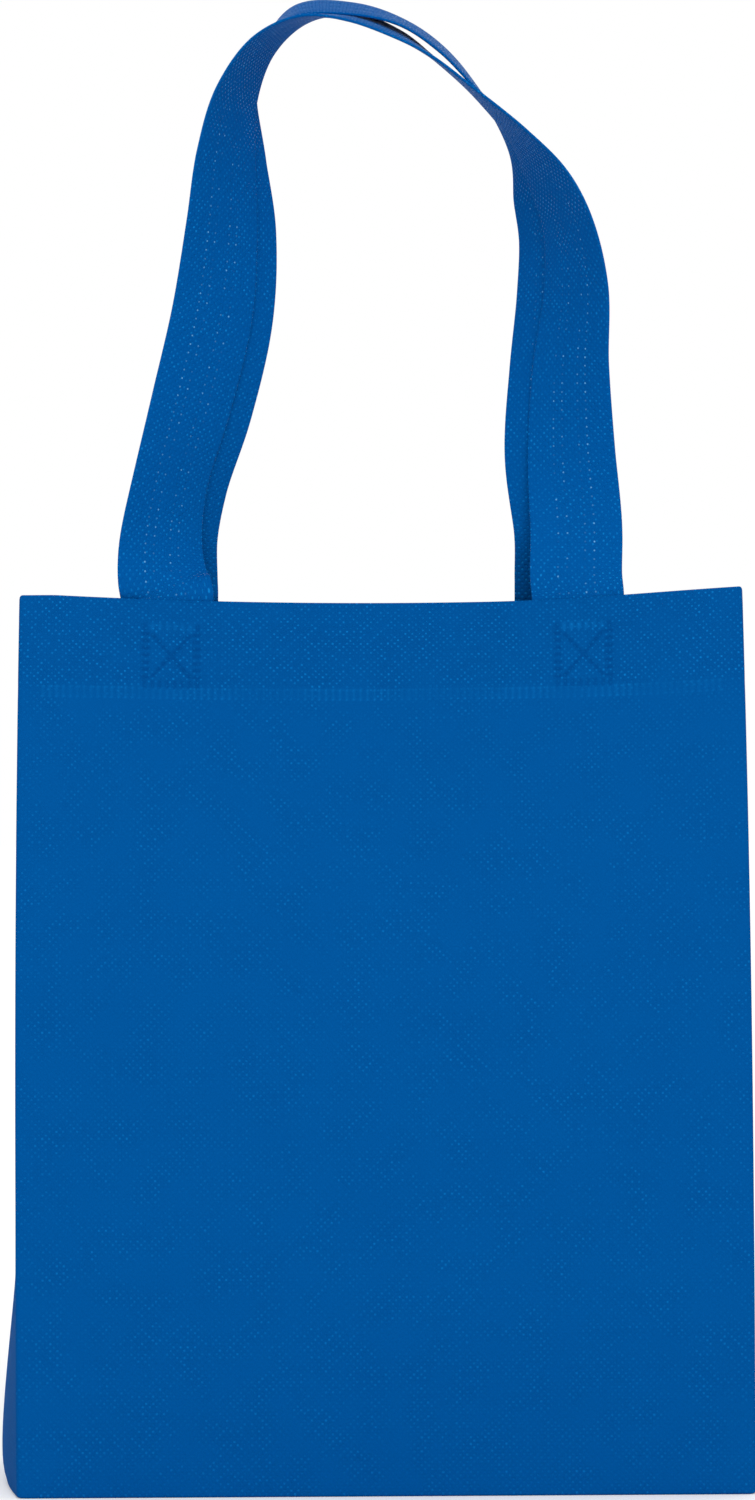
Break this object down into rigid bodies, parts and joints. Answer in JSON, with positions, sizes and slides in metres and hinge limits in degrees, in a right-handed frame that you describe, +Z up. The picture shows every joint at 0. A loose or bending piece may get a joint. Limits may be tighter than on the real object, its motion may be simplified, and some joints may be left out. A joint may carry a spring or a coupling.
{
  "type": "non-woven tote bag",
  "caption": "Small upright tote bag of thin blue non-woven fabric with folded side gussets, a hemmed mouth and two flat carrying handles.",
  "frame": {"origin": "centre of the flat base, between its four folds, on the surface that the bag stands on", "axes": "+Z up; the front panel faces -Y; +X to the right seen from the front"},
  "size_m": [0.2125, 0.1054, 0.4203],
  "materials": {
    "body_fabric": "matt spun-bonded fabric with a fine embossed lattice of dots",
    "handle_fabric": "matt spun-bonded fabric, folded and spot-welded in rows"
  },
  "bodies": {
    "root": {"bag_body": "body_fabric", "front_handle": "handle_fabric", "back_handle": "handle_fabric"}
  },
  "joints": []
}
